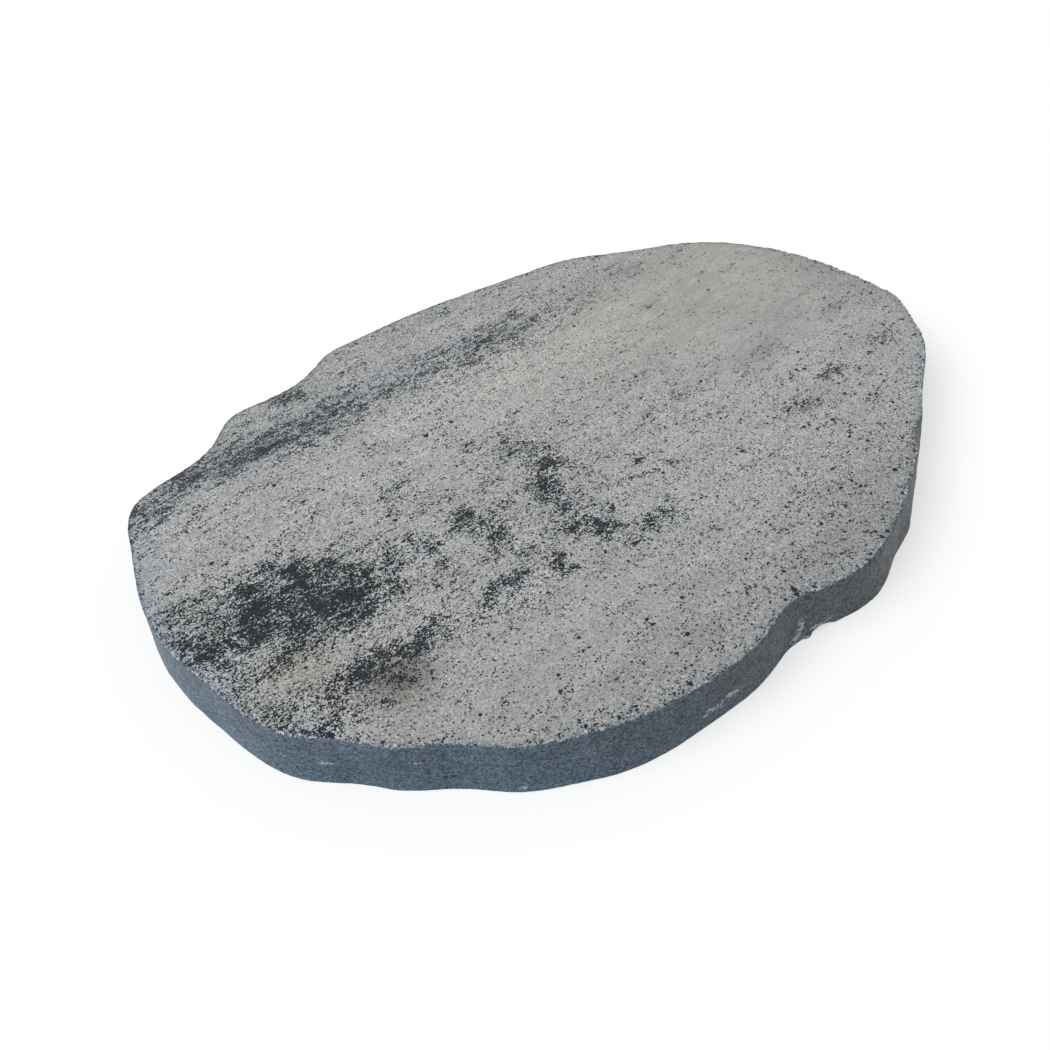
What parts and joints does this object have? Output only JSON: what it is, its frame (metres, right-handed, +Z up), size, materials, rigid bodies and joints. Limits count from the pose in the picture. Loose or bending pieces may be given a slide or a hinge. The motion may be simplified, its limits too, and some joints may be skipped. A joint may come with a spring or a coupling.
{
  "type": "garden stepping stone",
  "caption": "Flat slab of pressed concrete with a wandering, roughly oval outline, laid in grass or gravel to be stepped on.",
  "frame": {"origin": "on the bed, under the middle of the overall length and width", "axes": "+X along the length, +Y across the width, +Z up out of the tread"},
  "size_m": [0.54, 0.39, 0.04],
  "materials": {
    "concrete": "matt pressed concrete, pale grey with clouded anthracite pigment on the tread and a blue-grey wall"
  },
  "bodies": {
    "root": {"stepping_stone": "concrete"}
  },
  "joints": []
}
